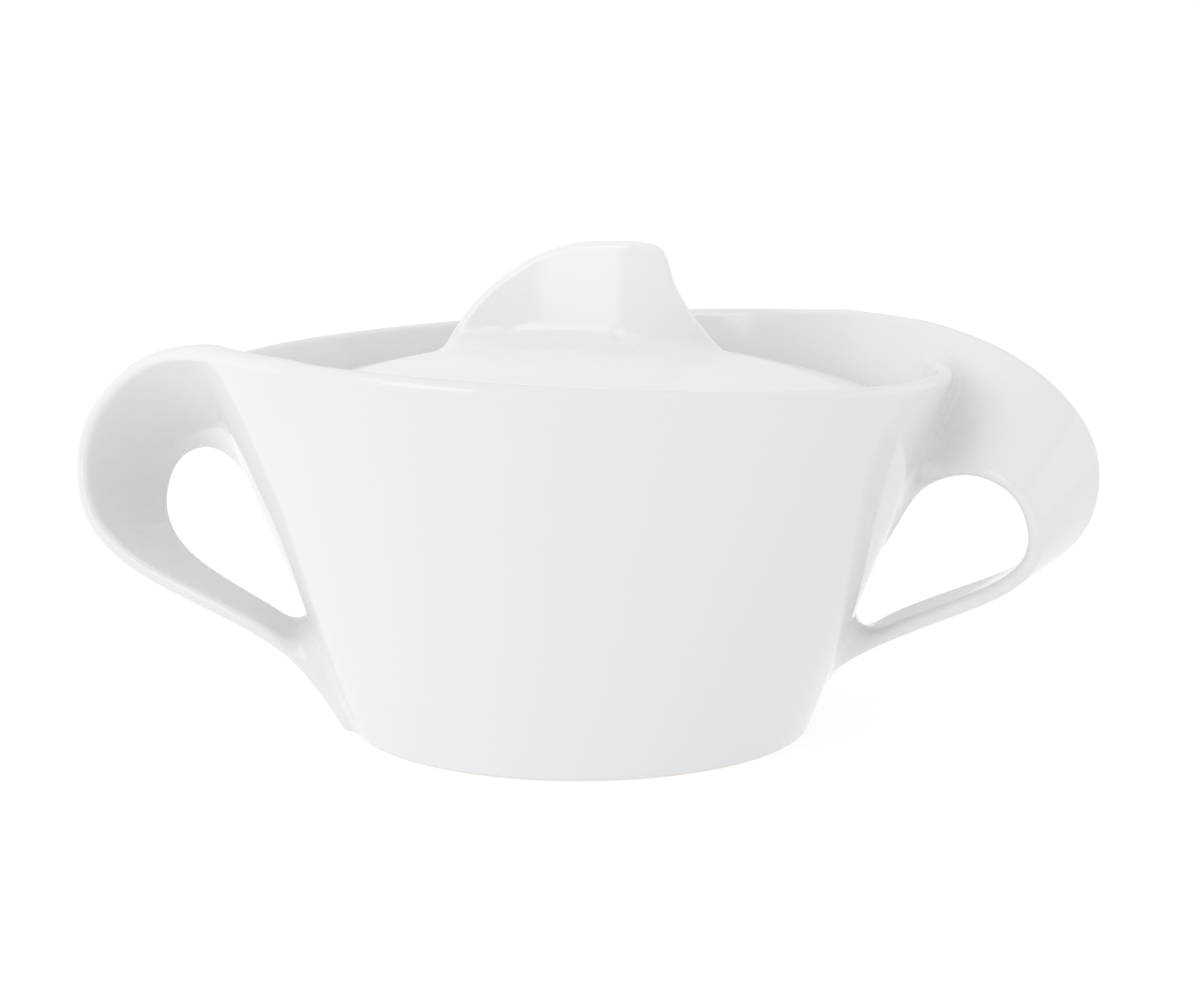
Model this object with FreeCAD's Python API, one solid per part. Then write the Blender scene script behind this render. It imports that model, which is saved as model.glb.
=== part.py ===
"""Porcelain sugar bowl: an oval vessel with two twisted ribbon handles, and a domed lid with a fin knob.

All lengths are millimetres. +Z is up, +X runs along the two handles, and the origin is on the resting
surface under the middle of the bowl. The bowl is the same again after half a turn about Z, so the right
handle is the left handle turned by 180 degrees.
"""

import FreeCAD, Part
import math
import os

Vec = FreeCAD.Vector
UP = Vec(0, 0, 1)

# Vessel: straight walls that lead from a round base to an oval rim
BASE_RADIUS = 38.3
FLARE_X = 0.388            # growth of the half axis for each millimetre of height
FLARE_Y = 0.187
WALL = 2.8
FLOOR_TOP = 4.2            # inside floor above the resting surface
FLOOR_CORNER = 8.0         # radius between floor and wall, inside
FOOT_WIDTH = 3.4           # ring that the bowl rests on
FOOT_RECESS = 1.4          # hollow under the floor, inside the ring
FOOT_EDGE = 0.6
FOOT_TAPER = 1.0

# Rim: each half lies in a tilted plane, high where it runs out into its own handle
RIM_HEIGHT = 63.1          # over the middle of the bowl
RIM_SLOPE = 0.046          # fall of the front rim towards +X
RIM_SPLIT_TURN = 15.0      # degrees from the X axis to the line where front and back rims change over
LIP_RADIUS = 1.2

# Gallery: the ledge inside the wall that carries the lid
LEDGE_TOP = 50.6
LEDGE_WIDTH = 2.4
LEDGE_DEPTH = 5.0          # straight stretch under the ledge
LEDGE_BLEND = 8.0          # slope back to the plain wall

# Ribbon handles: rim edge and hole edge of the left one, from its root in the wall round to its foot
RIBBON_THICK = 2.6
RIBBON = (
    # rim edge (x, y, z)        hole edge (x, y, z)
    ((-47.0, -29.5, 64.2), (-44.0, -7.0, 19.0)),
    ((-53.0, -23.8, 64.2), (-49.2, -0.5, 29.5)),
    ((-58.5, -17.0, 63.9), (-53.2, 4.4, 38.5)),
    ((-64.5, -9.0, 62.9), (-58.0, 9.2, 43.6)),
    ((-70.3, -1.7, 60.8), (-62.7, 13.5, 45.2)),
    ((-76.0, 3.7, 56.9), (-67.0, 16.5, 44.3)),
    ((-81.4, 6.7, 50.4), (-71.1, 18.4, 40.7)),
    ((-83.7, 6.8, 42.2), (-73.0, 18.2, 34.1)),
    ((-82.2, 4.9, 34.1), (-71.8, 16.2, 29.2)),
    ((-76.0, 2.5, 27.3), (-68.0, 12.8, 25.0)),
    ((-66.2, -0.1, 22.1), (-60.5, 8.8, 20.6)),
    ((-55.5, -3.0, 17.3), (-51.0, 5.2, 15.8)),
    ((-46.5, -5.3, 11.5), (-42.5, 3.0, 10.5)),
    ((-42.0, -6.8, 6.4), (-38.5, 1.5, 6.5)),
    ((-37.8, -8.4, 1.5), (-34.5, 0.0, 2.5)),
)

# Lid: a shallow oval dome with a flat seat and a locating flange
LID_CLEARANCE = 0.8        # to the wall, all round
SEAT_GAP = 0.2             # film of air between the lid's seat and the ledge
LID_EDGE = 2.4             # thickness at the seat
LID_RISE = 10.8
LID_THICK = 3.0
FLANGE_CLEARANCE = 0.9     # to the ledge, all round
FLANGE_THICK = 2.2
FLANGE_DEPTH = 4.6

# Knob: a fin along X, given as level oval cuts: height, left end, right end, half thickness
KNOB_CUTS = (
    (58.5, -25.4, 27.6, 4.8),
    (62.0, -23.2, 24.1, 4.2),
    (66.5, -19.5, 19.2, 3.7),
    (71.0, -16.4, 16.2, 3.3),
    (75.0, -11.2, 14.8, 2.8),
    (78.2, -5.0, 14.2, 2.2),
    (80.2, 3.0, 11.4, 0.9),
)

BIG = 240.0                # side of the blocks that cut planes
MARGIN = 8.0               # how far cutting shapes reach past what they cut


def half_x(z):
    return BASE_RADIUS + FLARE_X * z


def half_y(z):
    return BASE_RADIUS + FLARE_Y * z


def oval(radius_x, radius_y, z, middle_x=0.0):
    """Closed wire: a level ellipse, its long axis along X."""
    return Part.Wire(Part.Ellipse(Vec(middle_x, 0, z), radius_x, radius_y).toShape())


def between(low, high):
    """Solid between two level outlines, straight in the side view."""
    return Part.makeLoft([low, high], True, True)


def vessel_oval(z, inset=0.0):
    """Level cut through the vessel's outside, drawn in by an inset."""
    return oval(half_x(z) - inset, half_y(z) - inset, z)


def turned(shape):
    """The same shape after half a turn about Z."""
    copy = shape.copy()
    copy.rotate(Vec(0, 0, 0), UP, 180.0)
    return copy


def hull():
    """The vessel's outside as a filled solid, reaching above the rim."""
    solid = between(vessel_oval(0.0), vessel_oval(RIM_HEIGHT + MARGIN))
    foot = [edge for edge in solid.Edges if edge.BoundBox.ZMax < 0.01]
    return solid.makeFillet(FOOT_EDGE, foot)


def cavity():
    """The hollow inside the vessel, stepped in at the ledge."""
    throat_low = LEDGE_TOP - LEDGE_DEPTH
    blend_low = throat_low - LEDGE_BLEND
    narrow = WALL + LEDGE_WIDTH
    lower = between(vessel_oval(FLOOR_TOP, WALL), vessel_oval(blend_low, WALL))
    floor = [edge for edge in lower.Edges if edge.BoundBox.ZMax < FLOOR_TOP + 0.01]
    lower = lower.makeFillet(FLOOR_CORNER, floor)
    blend = between(vessel_oval(blend_low, WALL), vessel_oval(throat_low, narrow))
    throat = between(vessel_oval(throat_low, narrow), vessel_oval(LEDGE_TOP, narrow))
    upper = between(vessel_oval(LEDGE_TOP, WALL), vessel_oval(RIM_HEIGHT + 2 * MARGIN, WALL))
    return lower.fuse([blend, throat, upper])


def foot_recess():
    """The shallow round hollow under the floor, inside the foot ring."""
    radius = BASE_RADIUS - FOOT_EDGE - FOOT_WIDTH
    low = Vec(0, 0, -FOOT_RECESS)
    return Part.makeCone(radius + FOOT_TAPER, radius - FOOT_TAPER, 2 * FOOT_RECESS, low)


def above_front_rim():
    """Everything in the front half that is above the tilted plane of its rim."""
    above = Part.makeBox(BIG, BIG, BIG, Vec(-BIG / 2, -BIG / 2, RIM_HEIGHT))
    above.rotate(Vec(0, 0, RIM_HEIGHT), Vec(0, 1, 0), math.degrees(math.atan(RIM_SLOPE)))
    front = Part.makeBox(BIG, BIG / 2, BIG, Vec(-BIG / 2, -BIG / 2, 0))
    front.rotate(Vec(0, 0, 0), UP, RIM_SPLIT_TURN)
    return above.common(front)


def bowl_body():
    """The hollow shell, trimmed to both rims and rounded along its lips."""
    trim = above_front_rim()
    shell = hull().cut(cavity()).cut(foot_recess())
    shell = shell.cut(trim).cut(turned(trim))
    high = [edge for edge in shell.Edges if edge.BoundBox.ZMin > LEDGE_TOP + MARGIN / 2]
    lips = [edge for edge in high if edge.BoundBox.XLength > BASE_RADIUS]
    return shell.makeFillet(LIP_RADIUS, lips)


def ribbon_section(rim_edge, hole_edge, along):
    """Closed wire across the ribbon: two straight sides joined by half-round edges."""
    radius = RIBBON_THICK / 2
    across = (hole_edge - rim_edge).normalize() * radius
    side = along.cross(across).normalize() * radius
    return Part.Wire([
        Part.LineSegment(rim_edge + side, hole_edge + side).toShape(),
        Part.Arc(hole_edge + side, hole_edge + across, hole_edge - side).toShape(),
        Part.LineSegment(hole_edge - side, rim_edge - side).toShape(),
        Part.Arc(rim_edge - side, rim_edge - across, rim_edge + side).toShape(),
    ])


def ribbon_handle():
    """The left handle: the ribbon through all its stations, less what lies inside the vessel's outside."""
    edges = [(Vec(*rim), Vec(*hole)) for rim, hole in RIBBON]
    middles = [(rim + hole) * 0.5 for rim, hole in edges]
    before = [middles[0]] + middles[:-1]
    after = middles[1:] + [middles[-1]]
    sections = []
    for (rim, hole), start, end in zip(edges, before, after):
        sections.append(ribbon_section(rim, hole, end - start))
    outside = Part.makeLoft(sections, True, False).cut(hull())
    return max(outside.Solids, key=lambda solid: solid.Volume)


def dome(half_length, half_width, z_edge, rise):
    """Filled cap over an oval: a cap of a ball, narrowed along Y."""
    radius = (half_length ** 2 + rise ** 2) / (2 * rise)
    ball = Part.makeSphere(radius, Vec(0, 0, z_edge + rise - radius))
    narrow = FreeCAD.Matrix()
    narrow.scale(1.0, half_width / half_length, 1.0)
    block = Part.makeBox(BIG, BIG, BIG, Vec(-BIG / 2, -BIG / 2, z_edge))
    return ball.transformGeometry(narrow).common(block)


def lid_cover():
    """Dome, seat plate and locating flange in one casting, hollow underneath."""
    underside = LEDGE_TOP + SEAT_GAP
    edge_top = underside + LID_EDGE
    low = underside - FLANGE_DEPTH
    seat_x = half_x(LEDGE_TOP) - WALL - LID_CLEARANCE
    seat_y = half_y(LEDGE_TOP) - WALL - LID_CLEARANCE
    flange_inset = WALL + LEDGE_WIDTH + FLANGE_CLEARANCE
    plate = between(oval(seat_x, seat_y, underside), oval(seat_x, seat_y, edge_top))
    flange = between(vessel_oval(low, flange_inset), vessel_oval(edge_top, flange_inset))
    cover = plate.fuse([flange, dome(seat_x, seat_y, edge_top, LID_RISE)])
    well_x = half_x(low) - flange_inset - FLANGE_THICK
    well_y = half_y(low) - flange_inset - FLANGE_THICK
    well = between(oval(well_x, well_y, low - MARGIN), oval(well_x, well_y, underside))
    hollow = dome(well_x, well_y, underside, LID_EDGE + LID_RISE - LID_THICK)
    return cover.cut(well).cut(hollow).removeSplitter()


def lid_knob(cover):
    """The fin through all its cuts, less what lies inside the cover."""
    cuts = []
    for z, left, right, half_thick in KNOB_CUTS:
        cuts.append(oval((right - left) / 2, half_thick, z, (left + right) / 2))
    outside = Part.makeLoft(cuts, True, False).cut(cover)
    return max(outside.Solids, key=lambda solid: solid.BoundBox.ZMax)


def main():
    os.makedirs("parts", exist_ok=True)
    left = ribbon_handle()
    cover = lid_cover()
    nodes = {
        "bowl_body": bowl_body(),
        "handle_left": left,
        "handle_right": turned(left),
        "lid_cover": cover,
        "lid_knob": lid_knob(cover),
    }
    for name, shape in nodes.items():
        shape.exportStep(f"parts/{name}.step")
        box = shape.optimalBoundingBox(False)
        spans = (box.XMin, box.XMax, box.YMin, box.YMax, box.ZMin, box.ZMax)
        print(name, len(shape.Solids), "solid, valid", shape.isValid(), "volume", round(shape.Volume),
              [round(value, 1) for value in spans])


main()
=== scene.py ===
import math

import bmesh
import bpy
import numpy as np
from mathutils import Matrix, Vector
from mathutils.bvhtree import BVHTree


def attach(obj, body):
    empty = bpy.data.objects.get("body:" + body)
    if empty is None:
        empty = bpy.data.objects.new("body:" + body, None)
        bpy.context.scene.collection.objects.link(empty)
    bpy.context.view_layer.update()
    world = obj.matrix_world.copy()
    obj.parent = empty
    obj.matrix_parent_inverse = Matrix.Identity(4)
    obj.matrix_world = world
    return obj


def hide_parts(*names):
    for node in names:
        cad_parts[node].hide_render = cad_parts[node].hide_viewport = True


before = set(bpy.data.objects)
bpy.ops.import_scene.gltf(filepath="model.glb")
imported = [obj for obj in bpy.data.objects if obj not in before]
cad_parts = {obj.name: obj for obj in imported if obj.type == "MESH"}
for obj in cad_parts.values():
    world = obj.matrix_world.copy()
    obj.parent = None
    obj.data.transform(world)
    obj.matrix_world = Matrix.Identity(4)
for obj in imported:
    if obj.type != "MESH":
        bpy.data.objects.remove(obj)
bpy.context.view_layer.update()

MM = 0.001

# Vessel, in millimetres: straight walls from a round base to an oval rim
BASE_RADIUS = 38.3
FLARE_X = 0.388
FLARE_Y = 0.187
WALL = 2.8
FLOOR_TOP = 4.2
FLOOR_CORNER = 8.0
FOOT_WIDTH = 3.4
FOOT_RECESS = 1.4
LIP_RADIUS = 1.25
RIM_HEIGHT = 63.1
RIM_SLOPE = 0.046          # slope of the lip along X
RIM_TURN = 41.0            # degrees from the X axis to where a high rim hands over to its handle
RIM_BLEND = 26.0           # degrees over which a low rim climbs to the high one
LEDGE_TOP = 50.6
LEDGE_WIDTH = 2.4
LEDGE_DEPTH = 5.0
LEDGE_BLEND = 8.0
OUTER_START = 20.0         # height where the outside starts to follow the rim's slope
OUTER_SPAN = 38.0          # and over how much height it comes to follow it fully
INNER_START = 0.5          # the same for the inside, from the ledge up
INNER_SPAN = RIM_HEIGHT - LEDGE_TOP - 3.5
CORE_RADIUS = 30.0         # within this radius, rings turn from oval to round towards the axis
AXIS_GAP = 0.02            # radius where a turned skin stops short of the axis

# Ribbon handle: rim edge and hole edge of the left one
RIBBON_THICK = 2.6
SUNK_THICK = 0.4           # share of its thickness that it starts with, inside the wall
RIBBON_LEAVES, RIBBON_FREE = 2, 6       # stations where it starts to leave the wall and is clear of it
WALL_EASE = 1.5            # how gently its outside leaves the wall
INNER_PROUD = 0.35         # how far its root stands out of the wall's inside
ROOT_GROWTH = 1.0          # most that the root thickens as its outside leaves the wall
RIBBON = (
    ((-34.0, -41.0, 63.4), (-41.5, -17.0, 22.0)),
    ((-41.0, -36.6, 63.8), (-43.5, -11.5, 22.5)),
    ((-47.3, -31.0, 64.1), (-46.0, -5.5, 25.0)),
    ((-53.0, -23.8, 64.2), (-49.2, -0.5, 29.5)),
    ((-58.5, -17.0, 63.9), (-53.2, 4.4, 38.5)),
    ((-64.5, -9.0, 62.9), (-58.0, 9.2, 43.6)),
    ((-70.3, -1.7, 60.8), (-62.7, 13.5, 45.2)),
    ((-76.0, 3.7, 56.9), (-67.0, 16.5, 44.3)),
    ((-81.4, 6.7, 50.4), (-71.1, 18.4, 40.7)),
    ((-83.7, 6.8, 42.2), (-73.0, 18.2, 34.1)),
    ((-82.2, 4.9, 34.1), (-71.8, 16.2, 29.2)),
    ((-76.0, 2.5, 27.3), (-68.0, 12.8, 25.0)),
    ((-66.2, -0.1, 22.1), (-60.5, 8.8, 20.6)),
    ((-55.5, -3.0, 17.3), (-51.0, 5.2, 15.8)),
    ((-46.5, -5.3, 11.5), (-42.5, 3.0, 10.5)),
    ((-42.0, -6.8, 6.4), (-38.5, 1.5, 6.5)),
    ((-38.5, -8.2, 1.5), (-34.5, 0.0, 2.5)),
    ((-36.0, -9.0, -2.5), (-31.5, -1.0, -1.5)),
)

# Lid
LID_SEAT = 50.8
LID_EDGE = 2.4
LID_RISE = 10.8
LID_THICK = 3.0
LID_CLEARANCE = 0.8
FLANGE_CLEARANCE = 0.9
FLANGE_THICK = 2.2
FLANGE_DEPTH = 4.6
KNOB_OUTLINE = (
    (-26.0, 56.5), (-23.6, 61.0), (-20.3, 66.4), (-17.0, 70.7), (-13.1, 74.2), (-8.2, 77.4),
    (-3.3, 79.4), (1.6, 80.3), (6.5, 80.5), (11.0, 80.2), (13.3, 79.3), (14.2, 77.8),
    (15.0, 75.0), (16.0, 72.6), (17.3, 70.3), (18.7, 68.2), (20.6, 65.8), (23.4, 62.8), (27.5, 59.5),
)
KNOB_PLAN = (
    (-27.0, 1.6), (-19.0, 0.9), (-10.0, -0.4), (0.0, -2.4), (8.0, -4.2), (13.0, -4.9), (18.0, -4.4),
    (24.0, -2.2), (28.5, 0.3),
)
KNOB_EDGE = 1.1            # radius of the fin's round edge
KNOB_SPREAD = 0.09         # half thickness that it gains per millimetre below the edge
KNOB_LEAN = 0.18           # how far back it leans per millimetre of height
KNOB_LEAST = 0.2           # the fin ends where less than this height of it is left

# Looks
GLAZE_WARM = (0.750, 0.751, 0.752, 1.0)
GLAZE_COOL = (0.743, 0.750, 0.760, 1.0)
# painted shade: a darker, warmer glaze colour laid into the fillets where the parts meet
FILLET_SHADE = (0.700, 0.685, 0.655, 1.0)
GLAZE_SPECK = (0.700, 0.690, 0.665, 1.0)
BOWL_TONE = 0.99
LID_PAINTED_LIGHT = 1.065           # painted light: the lid's glaze is made lighter than the bowl's, because the lights alone leave the lid too dark
BARE_LIGHT = (0.800, 0.780, 0.735, 1.0)
BARE_DARK = (0.700, 0.675, 0.620, 1.0)
BARE_REACH = 0.15          # bare ground reaches this far from its level, in millimetres
BARE_FADE = 0.3            # and fades to glaze over this much
FOOT_FADE = 0.35
GLAZE_IOR = 1.52
GLAZE_ROUGH = (0.055, 0.10)
BARE_ROUGH = (0.55, 0.75)
CLOUD_SCALE, GLOSS_SCALE, SPECK_SCALE, GRIT_SCALE = 38.0, 60.0, 700.0, 4200.0   # noises, per metre
WAVE_SCALE, PEEL_SCALE = 55.0, 520.0
WAVE_HEIGHT, PEEL_HEIGHT, SAND_HEIGHT = 0.00022, 0.00001, 0.00006               # bumps, in metres
MIDDLE = (0.35, 0.65)      # most of a noise's values lie between these
SPECK_ABOVE = (0.74, 0.78) # noise values where a speck starts and is full
SPECK_STRENGTH = 0.10
SHADE_FULL = 0.55           # share of fillet where the painted shade is full
FLOOR_LIGHT = (0.26, 0.26, 0.26, 1.0)
FLOOR_DARK = (0.24, 0.24, 0.24, 1.0)
FLOOR_GLOW = 0.77
FLOOR_SCALE = 6.0
SKY = (0.985, 0.985, 1.0, 1.0)
SKY_STRENGTH = 0.88
PANELS = (                 # name, place and size in metres, radiance, whether the glaze mirrors it
    ("key_panel", (-0.55, -0.75, 0.36), (0.42, 0.60), 1.50, True),
    ("high_panel", (-0.6, -0.7, 0.7), (0.70, 0.60), 0.60, True),
    ("left_panel", (-1.1, 0.3, 0.45), (1.20, 0.90), 0.90, False),
    ("right_panel", (1.1, 0.3, 0.45), (1.20, 0.90), 0.45, True),
    ("top_panel", (0.0, 0.0, 1.1), (1.80, 1.60), 0.12, True),
)
PANEL_AIM = (0.0, 0.0, 0.04)
FLOOR_HALF = 40.0          # half the floor's side in metres
CAMERA_PLACE = (0.003222, -0.44868, 0.120975)
CAMERA_DIP = 10.556        # degrees below level
CAMERA_LENS = 82.3

# Meshing
EDGE_TURNS = np.linspace(0.0, math.pi, 9)[1:-1]      # angles of the points round an edge
CELL = 0.7                    # voxel size of the remesh
SKIN_STEP = 0.6            # spacing on the surfaces that the fields are measured from
ROUND_RADIUS = 55.0        # radius where a turned skin's columns are a step apart
SHEET_COLUMNS = 40         # points across a handle, and up the knob's fin
TOUCHING = 0.02            # nearer to a skin than this, its own normal gives the direction
TANGENT_BLEND = 0.6        # blend in mm where two skins run together
BOWL_FILLET = 1.8          # and where they meet at a right angle
KNOB_FILLET = 1.3
WIDEST = 4.5               # how much wider the blend is in a closing wedge
NEAR_MARGIN = 1.0          # added to the widest blend when the points near a skin are picked
SWELL = 1.5                # how far skins swell before the remesh, and the longest settling step
SETTLE_ROUNDS = 6          # rounds that draw the vertices onto the joined field
SETTLE_PULL = 0.5          # how far each evens out, of the way to its neighbours' mean
LEAST_SLOPE = 0.25         # least slope of the field that a settling step divides by
FILLET_MAP_ROUNDS = 4            # rounds that soften the map of the fillets, where shade is painted
EASE_ROUNDS = 8            # and further rounds that widen it for the smoothing
EASE_GAIN = 3.0            # smoothing for a share of fillet, up to the most
EASE_MOST = 0.6
FILL_ROUNDS = 26           # rounds of smoothing where a fillet fills a corner


def half_x(z):
    return BASE_RADIUS + FLARE_X * z


def half_y(z):
    return BASE_RADIUS + FLARE_Y * z


def smooth(t):
    """0 to 1 with no slope or curvature at either end."""
    t = np.clip(t, 0.0, 1.0)
    return t * t * t * (t * (6.0 * t - 15.0) + 10.0)


def unit(v):
    return v / np.maximum(np.linalg.norm(v, axis=-1, keepdims=True), 1e-12)


def polyline(points, step):
    """Divides straight runs to the step."""
    dense = [np.array(points[0], float)]
    for a, b in zip(points, points[1:]):
        a, b = np.array(a, float), np.array(b, float)
        count = max(1, math.ceil(np.linalg.norm(b - a) / step))
        dense.extend(a + (b - a) * j / count for j in range(1, count + 1))
    return np.array(dense)


def rounded(corners, step):
    """Open outline through corners (x, z, radius), its corners rounded and its runs divided to the step."""
    pts = [np.array(c[:2], float) for c in corners]
    path = [pts[0]]
    for i in range(1, len(pts) - 1):
        u = (pts[i - 1] - pts[i]) / np.linalg.norm(pts[i - 1] - pts[i])
        v = (pts[i + 1] - pts[i]) / np.linalg.norm(pts[i + 1] - pts[i])
        half = 0.5 * math.acos(float(np.clip(u @ v, -1.0, 1.0)))
        radius = corners[i][2]
        bisector = (u + v) / np.linalg.norm(u + v)
        centre = pts[i] + bisector * radius / math.sin(half)
        start = pts[i] + u * radius / math.tan(half) - centre
        end = pts[i] + v * radius / math.tan(half) - centre
        sweep = math.pi - 2.0 * half
        count = max(2, math.ceil(radius * sweep / (0.5 * step)))
        for j in range(count + 1):
            a = sweep * j / count
            path.append(centre + (start * math.sin(sweep - a) + end * math.sin(a)) / math.sin(sweep))
    path.append(pts[-1])
    return polyline(path, step)


def grid_faces(rows, columns):
    """Triangles over rows of points, each row a closed ring."""
    i, j = (a.ravel() for a in np.meshgrid(np.arange(rows - 1), np.arange(columns), indexing="ij"))
    i1, j1 = i + 1, (j + 1) % columns
    a, b, c, d = i * columns + j, i * columns + j1, i1 * columns + j1, i1 * columns + j
    return np.concatenate([np.stack([a, b, c], 1), np.stack([a, c, d], 1)])


def zipped(ring):
    """Faces that close a ring whose first and middle points are its two ends."""
    count = len(ring)
    pairs = [(ring[k], ring[k + 1], ring[-k - 1], ring[-k]) for k in range(1, count // 2 - 1)]
    faces = [(ring[0], ring[1], ring[-1]), (ring[count // 2 - 1], ring[count // 2], ring[count // 2 + 1])]
    for a, b, c, d in pairs:
        faces += [(a, b, c), (a, c, d)]
    return np.array(faces)


def tube(skin):
    """Closed surface over rows of rings, its two ends zipped."""
    rows, columns = skin.shape[:2]
    ring = np.arange(columns)
    caps = [zipped(ring)[:, ::-1], zipped(ring + (rows - 1) * columns)]
    return skin.reshape(-1, 3), np.concatenate([grid_faces(rows, columns)] + caps)


def rim_height(angle, x):
    """Height of the lip, from the direction seen from above and the place along X."""
    turn = np.degrees(angle) + 180.0 - RIM_TURN
    side = np.where(np.floor(turn / 180.0) % 2 == 0, 1.0, -1.0)
    climb = smooth((turn % 180.0 - (180.0 - RIM_BLEND)) / RIM_BLEND)
    return RIM_HEIGHT - RIM_SLOPE * x * side * (1.0 - 2.0 * climb)


def turned_section(outline, rim=False):
    """Skin of an outline (x radius, z) carried round the oval of the vessel."""
    count = int(2 * math.pi * ROUND_RADIUS / SKIN_STEP)
    angle = np.linspace(0.0, 2.0 * math.pi, count, endpoint=False)[None, :]
    radius, z = outline[:, 0][:, None], outline[:, 1][:, None]
    z = z + 0.0 * angle
    if rim:
        lift = rim_height(angle, half_x(RIM_HEIGHT) * np.cos(angle)) - RIM_HEIGHT
        inner = smooth((z - LEDGE_TOP - INNER_START) / INNER_SPAN) * (z > LEDGE_TOP)
        outer = smooth((z - OUTER_START) / OUTER_SPAN)
        lift = lift * np.where(radius > half_x(z) - 0.5 * WALL, outer, inner)
        z = z + lift
        radius = radius + FLARE_X * lift
    core = np.clip(radius / CORE_RADIUS, 0.0, 1.0)
    radius_y = radius + (half_y(z) - half_x(z)) * core
    pts = np.stack([radius * np.cos(angle), radius_y * np.sin(angle), z], -1)
    return pts.reshape(-1, 3), grid_faces(len(outline), count)


def vessel():
    """Foot ring, outer wall, lip, lid ledge, inner wall and floor."""
    throat_low = LEDGE_TOP - LEDGE_DEPTH
    blend_low = throat_low - LEDGE_BLEND
    inner = BASE_RADIUS - FOOT_WIDTH
    outline = rounded([
        (AXIS_GAP, FOOT_RECESS, 0),
        (inner - 1.5, FOOT_RECESS, 1.2),
        (inner, 0.0, 0.6),
        (BASE_RADIUS, 0.0, 0.7),
        (half_x(RIM_HEIGHT), RIM_HEIGHT, LIP_RADIUS),
        (half_x(RIM_HEIGHT) - WALL, RIM_HEIGHT, LIP_RADIUS),
        (half_x(LEDGE_TOP) - WALL, LEDGE_TOP, 0.8),
        (half_x(LEDGE_TOP) - WALL - LEDGE_WIDTH, LEDGE_TOP, 0.7),
        (half_x(throat_low) - WALL - LEDGE_WIDTH, throat_low, 4.0),
        (half_x(blend_low) - WALL, blend_low, 8.0),
        (half_x(FLOOR_TOP) - WALL, FLOOR_TOP, FLOOR_CORNER),
        (AXIS_GAP, FLOOR_TOP, 0),
    ], SKIN_STEP)
    return turned_section(outline, rim=True)


def spline(knots, values, at):
    """Natural cubic spline through the values."""
    n = len(knots)
    gap = np.diff(knots)
    a = np.eye(n)
    b = np.zeros((n, values.shape[1]))
    for i in range(1, n - 1):
        a[i, i - 1:i + 2] = gap[i - 1], 2.0 * (gap[i - 1] + gap[i]), gap[i]
        b[i] = 6.0 * ((values[i + 1] - values[i]) / gap[i] - (values[i] - values[i - 1]) / gap[i - 1])
    bend = np.linalg.solve(a, b)
    i = np.clip(np.searchsorted(knots, at) - 1, 0, n - 2)
    g = gap[i][:, None]
    s = ((at - knots[i]) / gap[i])[:, None]
    r = 1.0 - s
    return (r * values[i] + s * values[i + 1]
            + g * g / 6.0 * ((r ** 3 - r) * bend[i] + (s ** 3 - s) * bend[i + 1]))


def stations(points):
    """The points' distances along their line, and even steps over it."""
    knots = np.concatenate([[0.0], np.cumsum(np.linalg.norm(np.diff(points, axis=0), axis=1))])
    return knots, np.linspace(0.0, knots[-1], int(knots[-1] / SKIN_STEP) + 1)


def onto_wall(p):
    """The place on the vessel's outside at the same height and direction."""
    z = p[..., 2]
    k = 1.0 / np.hypot(p[..., 0] / half_x(z), p[..., 1] / half_y(z))
    return np.stack([p[..., 0] * k, p[..., 1] * k, z], -1)


def sheet_normal(sheet):
    return unit(np.cross(np.gradient(sheet, axis=0), np.gradient(sheet, axis=1)))


def ribbon_lines():
    """The handle's stations along its middle, and its rim edge and hole edge in even steps."""
    rim = np.array([s[0] for s in RIBBON])
    hole = np.array([s[1] for s in RIBBON])
    knots, at = stations(0.5 * (rim + hole))
    return knots, at, spline(knots, rim, at), spline(knots, hole, at)


def ramp(at, knots, first, last):
    """0 to 1 from one station to another."""
    return smooth((at - knots[first]) / (knots[last] - knots[first]))[:, None, None]


def ribbon_outside(knots, at, rim, hole, v):
    """The handle's outer face, and how far it stands out of the front wall that it leaves."""
    sheet = rim[:, None] * (1.0 - v) + hole[:, None] * v
    outer = sheet + sheet_normal(sheet) * 0.5 * RIBBON_THICK
    wall = onto_wall(outer)
    level = unit(outer * np.array([1.0, 1.0, 0.0]))
    excess = ((outer - wall) * level).sum(2, keepdims=True)
    stands = 0.5 * (excess + np.sqrt(excess ** 2 + WALL_EASE ** 2)) * ramp(at, knots, 0, RIBBON_LEAVES)
    free = ramp(at, knots, RIBBON_FREE, RIBBON_FREE + 3)
    return (wall + level * stands) * (1.0 - free) + outer * free, stands


def ribbon():
    """Skin of the left handle, with round edges. It starts inside the front wall and grows out of it."""
    knots, at, rim, hole = ribbon_lines()
    v = np.linspace(0.0, 1.0, SHEET_COLUMNS)[None, :, None]
    outer, stands = ribbon_outside(knots, at, rim, hole, v)
    normal = sheet_normal(outer)
    alone = ramp(at, knots, RIBBON_LEAVES + 1, RIBBON_FREE)
    root_thick = WALL + INNER_PROUD + np.minimum(stands, ROOT_GROWTH)
    half = 0.5 * (RIBBON_THICK * alone + root_thick * (1.0 - alone))
    middle = outer - normal * half
    flush = knots[RIBBON_LEAVES] * (1.0 - v) + knots[RIBBON_LEAVES + 2] * v
    grown = SUNK_THICK + (1.0 - SUNK_THICK) * smooth(at[:, None, None] / flush)
    thick = normal * half * grown
    edge = unit(np.gradient(middle, axis=1)) * 0.5 * RIBBON_THICK * grown
    low_edge = [middle[:, -1] + thick[:, -1] * math.cos(t) + edge[:, -1] * math.sin(t) for t in EDGE_TURNS]
    top_edge = [middle[:, 0] - thick[:, 0] * math.cos(t) - edge[:, 0] * math.sin(t) for t in EDGE_TURNS]
    skin = np.concatenate([middle + thick, np.stack(low_edge, 1),
                           (middle - thick)[:, ::-1], np.stack(top_edge, 1)], 1)
    return tube(np.roll(skin, len(EDGE_TURNS) // 2 + 1, axis=1))


def ball_radius(half, rise):
    """Radius of the ball whose cap has this half width and rise."""
    return (half ** 2 + rise ** 2) / (2.0 * rise)


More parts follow.
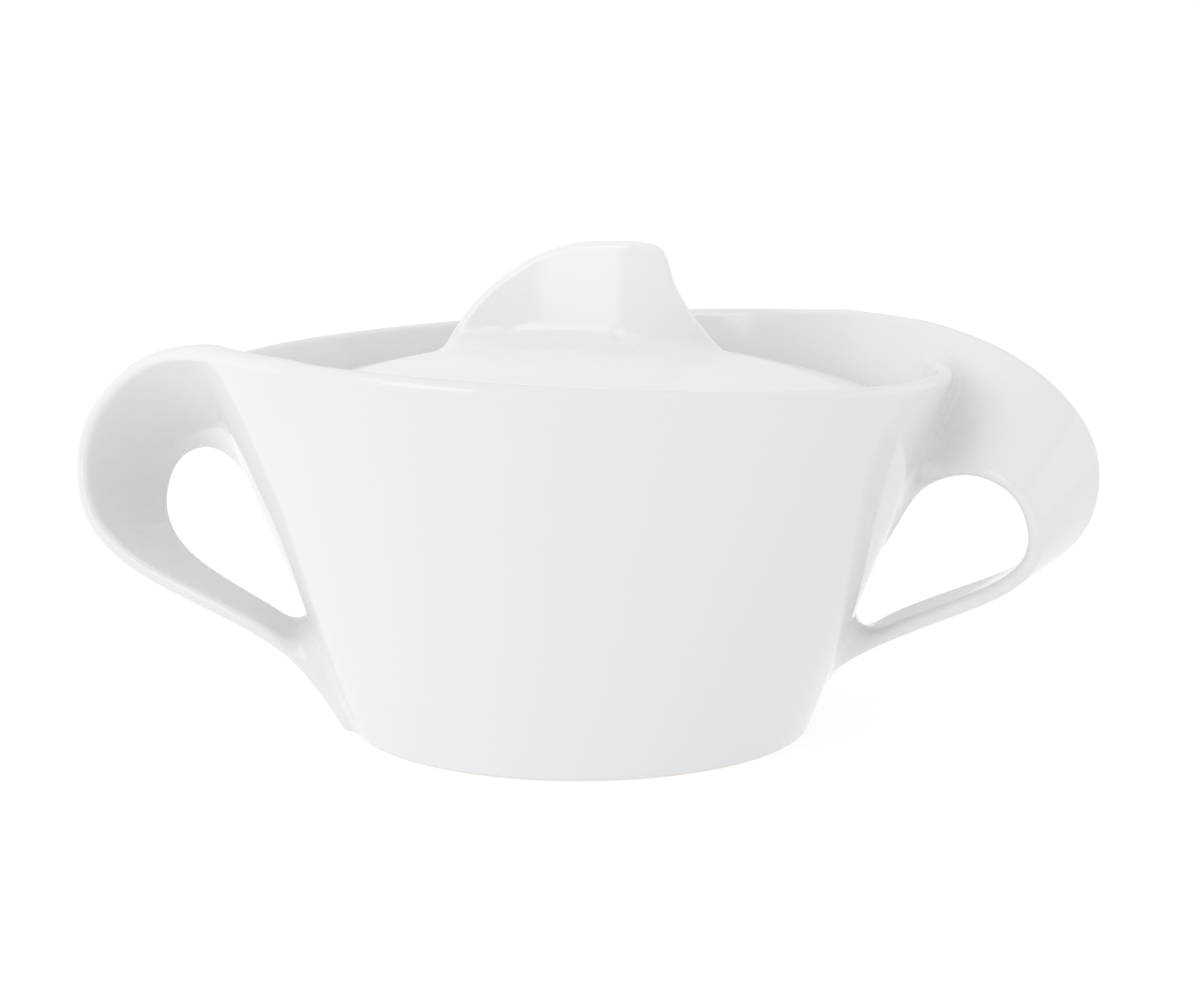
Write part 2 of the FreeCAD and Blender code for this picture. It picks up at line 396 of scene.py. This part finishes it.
def lid_half(half):
    """Half the lid along X or Y, as half_x or half_y is given."""
    return half(LEDGE_TOP) - WALL - LID_CLEARANCE


def flange_half(z):
    return half_x(z) - WALL - LEDGE_WIDTH - FLANGE_CLEARANCE


def dome_arc(half, z_edge, rise):
    """Points of a dome's arc from its top to its edge."""
    radius = ball_radius(half, rise)
    x = np.linspace(AXIS_GAP, half, 60)
    return [(a, z_edge + rise - radius + math.sqrt(radius ** 2 - a * a)) for a in x]


def cover():
    """Dome, edge, seat, flange and the dome's inside."""
    seat = lid_half(half_x)
    low = LID_SEAT - FLANGE_DEPTH
    flange, flange_low = flange_half(LID_SEAT), flange_half(low)
    edge_top = LID_SEAT + LID_EDGE
    outer = dome_arc(seat, edge_top, LID_RISE)
    inner = dome_arc(flange_low - FLANGE_THICK, LID_SEAT, LID_EDGE + LID_RISE - LID_THICK)
    rim = rounded([
        (*outer[-4], 0),
        (seat, edge_top, 1.0),
        (seat, LID_SEAT, 0.9),
        (flange, LID_SEAT, 0.7),
        (flange_low, low, 0.9),
        (flange_low - FLANGE_THICK, low, 0.9),
        (inner[-1][0], LID_SEAT, 3.0),
        (*inner[-8], 0),
    ], SKIN_STEP)
    outline = polyline(outer[:-4] + [tuple(p) for p in rim] + inner[-9::-1], SKIN_STEP)
    return turned_section(outline)


def dome_height(x, y):
    """The dome's outside, a ball cap that follows the oval."""
    seat = lid_half(half_x)
    radius = ball_radius(seat, LID_RISE)
    squash = lid_half(half_y) / seat
    far = np.hypot(x, y / squash)
    return LID_SEAT + LID_EDGE + LID_RISE - radius + np.sqrt(np.maximum(radius ** 2 - far ** 2, 0.0))


def knob():
    """The fin: a blade curved in plan, leaning back, thicker towards its root, with a round edge."""
    outline = np.array(KNOB_OUTLINE, float)
    knots, at = stations(outline)
    outline = spline(knots, outline, at)
    along = unit(np.gradient(outline, axis=0))
    out = np.stack([-along[:, 1], along[:, 0]], 1)
    inset = outline - out * KNOB_EDGE
    plan = np.array(KNOB_PLAN, float)

    def front(x, z):
        lean = KNOB_LEAN * (z - LID_SEAT - LID_EDGE - LID_RISE)
        return spline(plan[:, 0], plan[:, 1:], x.ravel()).reshape(x.shape) + lean

    share = np.linspace(0.0, 1.0, SHEET_COLUMNS)[None, :]
    root = dome_height(inset[:, 0], front(inset[:, 0], inset[:, 1])) - 0.5 * LID_THICK
    above = inset[:, 1] > root + KNOB_LEAST
    inset, out, root = inset[above], out[above], root[above]
    x = np.repeat(inset[:, :1], SHEET_COLUMNS, 1)
    top = inset[:, 1]
    z = root[:, None] + (top - root)[:, None] * share
    y = front(x, z)
    half = KNOB_EDGE + KNOB_SPREAD * (top[:, None] - z)
    face = np.stack([x, y, z], -1)
    back = np.stack([x, y + 2.0 * half, z], -1)
    round_edge = []
    for t in EDGE_TURNS:
        reach = KNOB_EDGE * math.sin(t)
        round_edge.append(np.stack([x[:, -1] + out[:, 0] * reach,
                                    y[:, -1] + KNOB_EDGE * (1.0 - math.cos(t)),
                                    top + out[:, 1] * reach], -1))
    skin = np.concatenate([face, np.stack(round_edge, 1), back[:, ::-1]], 1)
    foot = 0.5 * (skin[:, :1] + skin[:, -1:])
    skin = np.concatenate([skin, foot], 1)
    return tube(np.roll(skin, 1, axis=1))


class Skin:
    """A closed surface that answers with signed distances."""

    def __init__(self, pts, faces):
        a, b, c = (pts[faces[:, k]] for k in range(3))
        if (a * np.cross(b, c)).sum() < 0.0:
            faces = faces[:, ::-1]
            a, c = c, a
        self.pts, self.faces = pts, faces
        flat = unit(np.cross(b - a, c - a))
        corner_sums = [sum(np.bincount(faces[:, k], column, len(pts)) for k in range(3))
                       for column in flat.T]
        self.normals = unit(np.stack(corner_sums, 1))
        self.tree = BVHTree.FromPolygons(pts.tolist(), faces.tolist())

    def normal_at(self, near, index):
        """Normals blended between the corners of each face."""
        a, b, c = (self.pts[self.faces[index, k]] for k in range(3))
        ab, ac, ap = b - a, c - a, near - a
        bb, bc, cc = (ab * ab).sum(1), (ab * ac).sum(1), (ac * ac).sum(1)
        bp, cp = (ab * ap).sum(1), (ac * ap).sum(1)
        whole = np.maximum(bb * cc - bc * bc, 1e-12)
        v = np.clip((cc * bp - bc * cp) / whole, 0.0, 1.0)[:, None]
        w = np.clip((bb * cp - bc * bp) / whole, 0.0, 1.0)[:, None]
        corners = [self.normals[self.faces[index, k]] for k in range(3)]
        return unit(corners[0] * (1.0 - v - w) + corners[1] * v + corners[2] * w)

    def measure(self, pts):
        """Signed distance and outward direction at each point."""
        find = self.tree.find_nearest
        hits = [find(p) for p in pts.tolist()]
        near = np.array([h[0] for h in hits])
        normal = self.normal_at(near, np.array([h[2] for h in hits]))
        away = pts - near
        length = np.linalg.norm(away, axis=1)
        side = np.where((away * normal).sum(1) < 0.0, -1.0, 1.0)
        direction = np.where((length > TOUCHING)[:, None],
                             away * (side / np.maximum(length, 1e-9))[:, None], normal)
        return length * side, direction


def above_floor(pts, faces):
    """A closed surface cut level with the floor and closed again."""
    mesh = bmesh.new()
    verts = [mesh.verts.new(p) for p in pts]
    for f in faces.tolist():
        mesh.faces.new([verts[i] for i in f])
    bmesh.ops.recalc_face_normals(mesh, faces=mesh.faces)
    cut = bmesh.ops.bisect_plane(mesh, geom=mesh.verts[:] + mesh.edges[:] + mesh.faces[:],
                                 plane_co=(0, 0, 0), plane_no=(0, 0, 1), clear_inner=True)
    edges = [e for e in cut["geom_cut"] if isinstance(e, bmesh.types.BMEdge)]
    bmesh.ops.triangle_fill(mesh, edges=edges, use_beauty=True, use_dissolve=False)
    bmesh.ops.triangulate(mesh, faces=mesh.faces)
    bmesh.ops.recalc_face_normals(mesh, faces=mesh.faces)
    mesh.verts.index_update()
    pts = np.array([v.co for v in mesh.verts])
    faces = np.array([[v.index for v in f.verts] for f in mesh.faces])
    mesh.free()
    return pts, faces


def turn_half(pts):
    """The points turned half round Z."""
    return pts * np.array([-1.0, -1.0, 1.0])


def linked(name, data):
    """A new object in the scene."""
    obj = bpy.data.objects.new(name, data)
    bpy.context.scene.collection.objects.link(obj)
    return obj


def merge(a, ga, b, gb, fillet):
    """Union of two fields. Faces that run together meet plainly, and faces that oppose get the fillet."""
    turned = 1.0 - (unit(ga) * gb).sum(1)
    reach = np.clip(fillet * turned ** 2, TANGENT_BLEND, WIDEST * fillet)
    h = np.clip(0.5 + 0.5 * (b - a) / reach, 0.0, 1.0)
    d = b * (1.0 - h) + a * h - reach * h * (1.0 - h)
    g = gb * (1.0 - h)[:, None] + ga * h[:, None]
    return d, g, 4.0 * h * (1.0 - h) * np.clip(turned, 0.0, 1.0)


def field(skins, pts, near, fillet):
    """Signed distance, direction and share of fillet of the joined skins."""
    d, g = skins[0].measure(pts)
    fillet_share = np.zeros(len(pts))
    for skin, mask in zip(skins[1:], near):
        dist, direction = skin.measure(pts[mask])
        d[mask], g[mask], blend = merge(d[mask], g[mask], dist, direction, fillet)
        fillet_share[mask] = np.maximum(fillet_share[mask], blend)
    return d, g, fillet_share


def remeshed(skins):
    """Even quads over the outside of all the skins together, swollen so that tight wedges close."""
    start, pts, faces = 0, [], []
    for skin in skins:
        pts.append(skin.pts + skin.normals * SWELL)
        faces.append(skin.faces + start)
        start += len(skin.pts)
    mesh = bpy.data.meshes.new("skins")
    mesh.from_pydata(np.concatenate(pts).tolist(), [], np.concatenate(faces).tolist())
    obj = linked("skins", mesh)
    remesh = obj.modifiers.new("remesh", "REMESH")
    remesh.mode = "VOXEL"
    remesh.voxel_size = CELL
    even = bpy.data.meshes.new_from_object(obj.evaluated_get(bpy.context.evaluated_depsgraph_get()))
    pts = np.empty(len(even.vertices) * 3)
    even.vertices.foreach_get("co", pts)
    quads = np.empty(len(even.loops), int)
    even.loops.foreach_get("vertex_index", quads)
    bpy.data.objects.remove(obj)
    bpy.data.meshes.remove(mesh)
    bpy.data.meshes.remove(even)
    return pts.reshape(-1, 3), quads.reshape(-1, 4)


def near_skin(skin, pts, distance):
    """Which points are within a distance of a skin, by coarse cells."""
    cells = np.round(skin.pts / distance).astype(int)
    low = np.minimum(cells.min(0), np.round(pts.min(0) / distance).astype(int)) - 2
    shape = np.maximum(cells.max(0), np.round(pts.max(0) / distance).astype(int)) - low + 3
    full = np.zeros(shape, bool)
    for dx in (-1, 0, 1):
        for dy in (-1, 0, 1):
            for dz in (-1, 0, 1):
                full[tuple((cells - low + (dx, dy, dz)).T)] = True
    return full[tuple((np.round(pts / distance).astype(int) - low).T)]


def neighbour_mean(values, edges):
    """Mean of each vertex's neighbours, column by column."""
    count = np.bincount(edges[:, 0], minlength=len(values))
    total = [np.bincount(edges[:, 0], column[edges[:, 1]], len(values)) for column in values.T]
    return np.stack(total, 1) / count[:, None]


def spread(values, edges, rounds):
    """The values averaged with their neighbours' again and again."""
    for _ in range(rounds):
        values = neighbour_mean(values, edges)
    return values


def surface(skins, fillet):
    """One mesh over the joined skins, its vertices evened out and drawn onto the joined field."""
    pts, quads = remeshed(skins)
    near = [near_skin(s, pts, WIDEST * fillet + NEAR_MARGIN) for s in skins[1:]]
    edges = np.concatenate([quads[:, [k, (k + 1) % 4]] for k in range(4)])
    for count in range(SETTLE_ROUNDS):
        if count:
            pull = neighbour_mean(pts, edges) - pts
            pts = pts + SETTLE_PULL * (pull - (pull * g).sum(1, keepdims=True) * g)
        d, g, fillet_share = field(skins, pts, near, fillet)
        step = d / np.maximum(np.linalg.norm(g, axis=1), LEAST_SLOPE)
        g = unit(g)
        pts = pts - np.clip(step, -SWELL, SWELL)[:, None] * g
    fillet_share = spread(fillet_share[:, None], edges, FILLET_MAP_ROUNDS)
    ease = np.clip(EASE_GAIN * spread(fillet_share, edges, EASE_ROUNDS), 0.0, EASE_MOST)
    for _ in range(FILL_ROUNDS):
        pts = pts + ease * (neighbour_mean(pts, edges) - pts)
    return pts, quads, fillet_share[:, 0]


def add_attribute(mesh, name, values):
    layer = mesh.attributes.new(name, "FLOAT", "POINT")
    layer.data.foreach_set("value", values.astype(np.float32))


def make_mesh(name, pts, quads, fillet_share, bare):
    mesh = bpy.data.meshes.new(name)
    mesh.from_pydata((pts * MM).tolist(), [], quads.tolist())
    mesh.polygons.foreach_set("use_smooth", [True] * len(mesh.polygons))
    add_attribute(mesh, "fillet_share", fillet_share)
    add_attribute(mesh, "bare", bare)
    mesh.update()
    return linked(name, mesh)


class Nodes:
    """Short hand for a material's node tree."""

    mix_sockets = {"RGBA": (6, 7, 2), "FLOAT": (2, 3, 0)}    # a Mix node's two inputs and its output

    def __init__(self, name):
        self.material = bpy.data.materials.new(name)
        self.material.use_nodes = True
        self.tree = self.material.node_tree
        self.shader = self.tree.nodes["Principled BSDF"]

    def add(self, kind, inputs=(), **settings):
        node = self.tree.nodes.new("ShaderNode" + kind)
        for key, value in settings.items():
            setattr(node, key, value)
        for key, value in dict(inputs).items():
            self.put(node.inputs[key], value)
        return node

    def put(self, socket, value):
        if isinstance(value, bpy.types.NodeSocket):
            self.tree.links.new(value, socket)
        else:
            socket.default_value = value

    def noise(self, scale, detail=2.0):
        place = self.add("TexCoord").outputs["Object"]
        return self.add("TexNoise", {"Vector": place, "Scale": scale, "Detail": detail}).outputs["Fac"]

    def between(self, factor, low, high, start=0.0, end=1.0):
        """A number that runs from low to high as the factor goes from start to end."""
        node = self.add("MapRange", {"Value": factor, "From Min": start, "From Max": end,
                                     "To Min": low, "To Max": high})
        return node.outputs["Result"]

    def mix(self, factor, a, b, kind="RGBA"):
        node = self.add("Mix", data_type=kind)
        first, second, result = self.mix_sockets[kind]
        self.put(node.inputs[0], factor)
        self.put(node.inputs[first], a)
        self.put(node.inputs[second], b)
        return node.outputs[result]

    def attribute(self, name):
        return self.add("Attribute", attribute_name=name).outputs["Fac"]


def toned(colour, tone):
    return tuple(c * tone for c in colour[:3]) + (1.0,)


def porcelain(name, tone):
    """White glazed porcelain of a piece, with bare ground porcelain where the pieces rest, and painted
    shade, darker and warmer, in the fillets.
    """
    n = Nodes(name)
    bare = n.attribute("bare")
    fillet_share = n.attribute("fillet_share")
    cloud = n.between(n.noise(CLOUD_SCALE), 0.0, 1.0, *MIDDLE)
    body = n.mix(cloud, toned(GLAZE_WARM, tone), toned(GLAZE_COOL, tone))
    # painted shade: the glaze turns darker and warmer across the fillets
    body = n.mix(n.between(fillet_share, 0.0, SHADE_FULL), body, toned(FILLET_SHADE, tone))
    speck = n.between(n.noise(SPECK_SCALE, 1.0), 0.0, SPECK_STRENGTH, *SPECK_ABOVE)
    body = n.mix(speck, body, GLAZE_SPECK)
    grit = n.noise(GRIT_SCALE, 3.0)
    ground = n.mix(n.between(grit, 0.0, 1.0, *MIDDLE), BARE_LIGHT, BARE_DARK)
    n.put(n.shader.inputs["Base Color"], n.mix(bare, body, ground))
    gloss = n.between(n.noise(GLOSS_SCALE), *GLAZE_ROUGH, *MIDDLE)
    n.put(n.shader.inputs["Roughness"], n.mix(bare, gloss, n.between(grit, *BARE_ROUGH), "FLOAT"))
    n.shader.inputs["IOR"].default_value = GLAZE_IOR
    wave = n.add("Bump", {"Height": n.noise(WAVE_SCALE, 1.0), "Distance": WAVE_HEIGHT, "Strength": 0.35})
    peel = n.add("Bump", {"Height": n.noise(PEEL_SCALE, 1.0), "Distance": PEEL_HEIGHT, "Strength": 0.25,
                          "Normal": wave.outputs["Normal"]})
    sand = n.add("Bump", {"Height": grit, "Distance": SAND_HEIGHT, "Strength": bare,
                          "Normal": peel.outputs["Normal"]})
    n.put(n.shader.inputs["Normal"], sand.outputs["Normal"])
    return n.material


def oval_inset(pts):
    """How far inside the vessel's outside each point is, along X."""
    c = half_x(pts[:, 2]) - half_y(pts[:, 2])
    r = np.hypot(pts[:, 0], pts[:, 1])
    for _ in range(6):
        r = np.hypot(pts[:, 0], pts[:, 1] * r / np.maximum(r - c, 1.0))
    return half_x(pts[:, 2]) - r


def ground_at(pts, level, fade):
    """1 at a level, fading to 0 above and below it."""
    return 1.0 - smooth((np.abs(pts[:, 2] - level) - BARE_REACH) / fade)


def bare_bowl(pts):
    """1 on the ground foot ring and on the ledge that the lid rests on."""
    inset = oval_inset(pts)
    on_foot = inset < FOOT_WIDTH + 1.0
    on_ledge = (inset > WALL + 0.5) & (inset < WALL + LEDGE_WIDTH)
    return np.maximum(ground_at(pts, 0.0, FOOT_FADE) * on_foot,
                      ground_at(pts, LEDGE_TOP, BARE_FADE) * on_ledge)


def bare_lid(pts):
    """1 on the lid's seat."""
    return ground_at(pts, LID_SEAT, BARE_FADE) * (oval_inset(pts) < WALL + LEDGE_WIDTH + 0.5)


def build():
    pts, faces = above_floor(*ribbon())
    handles = [Skin(pts, faces), Skin(turn_half(pts), faces)]
    shape = surface([Skin(*vessel())] + handles, BOWL_FILLET)
    shape[0][:, 2] = np.maximum(shape[0][:, 2], 0.0)
    bowl = make_mesh("bowl_porcelain", *shape, bare_bowl(shape[0]))
    shape = surface([Skin(*cover()), Skin(*knob())], KNOB_FILLET)
    lid = make_mesh("lid_porcelain", *shape, bare_lid(shape[0]))
    # the lid gets a lighter copy of the bowl's glaze, as painted light
    for piece, body, tone, nodes in (
            (bowl, "bowl", BOWL_TONE, ("bowl_body", "handle_left", "handle_right")),
            (lid, "lid", LID_PAINTED_LIGHT, ("lid_cover", "lid_knob"))):
        piece.data.materials.append(porcelain(body + "_glaze", tone))
        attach(piece, body)
        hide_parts(*nodes)


def panel(name, place, size, radiance, mirrored):
    """A soft light panel that faces the bowl, and that the glaze mirrors or not."""
    light = bpy.data.lights.new(name, "AREA")
    light.shape = "RECTANGLE"
    light.size, light.size_y = size
    light.energy = radiance * math.pi * size[0] * size[1]
    obj = linked(name, light)
    obj.location = place
    obj.rotation_euler = (Vector(PANEL_AIM) - obj.location).to_track_quat("-Z", "Y").to_euler()
    obj.visible_glossy = mirrored


def studio():
    n = Nodes("studio_floor")
    n.put(n.shader.inputs["Base Color"], n.mix(n.noise(FLOOR_SCALE), FLOOR_DARK, FLOOR_LIGHT))
    n.shader.inputs["Roughness"].default_value = 0.7
    n.shader.inputs["Specular IOR Level"].default_value = 0.1
    n.shader.inputs["Emission Color"].default_value = (1.0, 1.0, 1.0, 1.0)
    n.shader.inputs["Emission Strength"].default_value = FLOOR_GLOW
    mesh = bpy.data.meshes.new("floor")
    s = FLOOR_HALF
    mesh.from_pydata([(-s, -s, 0), (s, -s, 0), (s, s, 0), (-s, s, 0)], [], [(0, 1, 2, 3)])
    mesh.materials.append(n.material)
    linked("floor", mesh)
    world = bpy.data.worlds.new("studio")
    bpy.context.scene.world = world
    world.use_nodes = True
    world.node_tree.nodes["Background"].inputs["Color"].default_value = SKY
    world.node_tree.nodes["Background"].inputs["Strength"].default_value = SKY_STRENGTH
    for settings in PANELS:
        panel(*settings)


def camera():
    data = bpy.data.cameras.new("camera")
    data.sensor_width = 36.0
    data.lens = CAMERA_LENS
    cam = linked("camera", data)
    cam.location = CAMERA_PLACE
    cam.rotation_euler = (math.radians(90.0 - CAMERA_DIP), 0.0, 0.0)
    bpy.context.scene.camera = cam


build()
studio()
camera()
bpy.context.scene.view_settings.view_transform = "Standard"
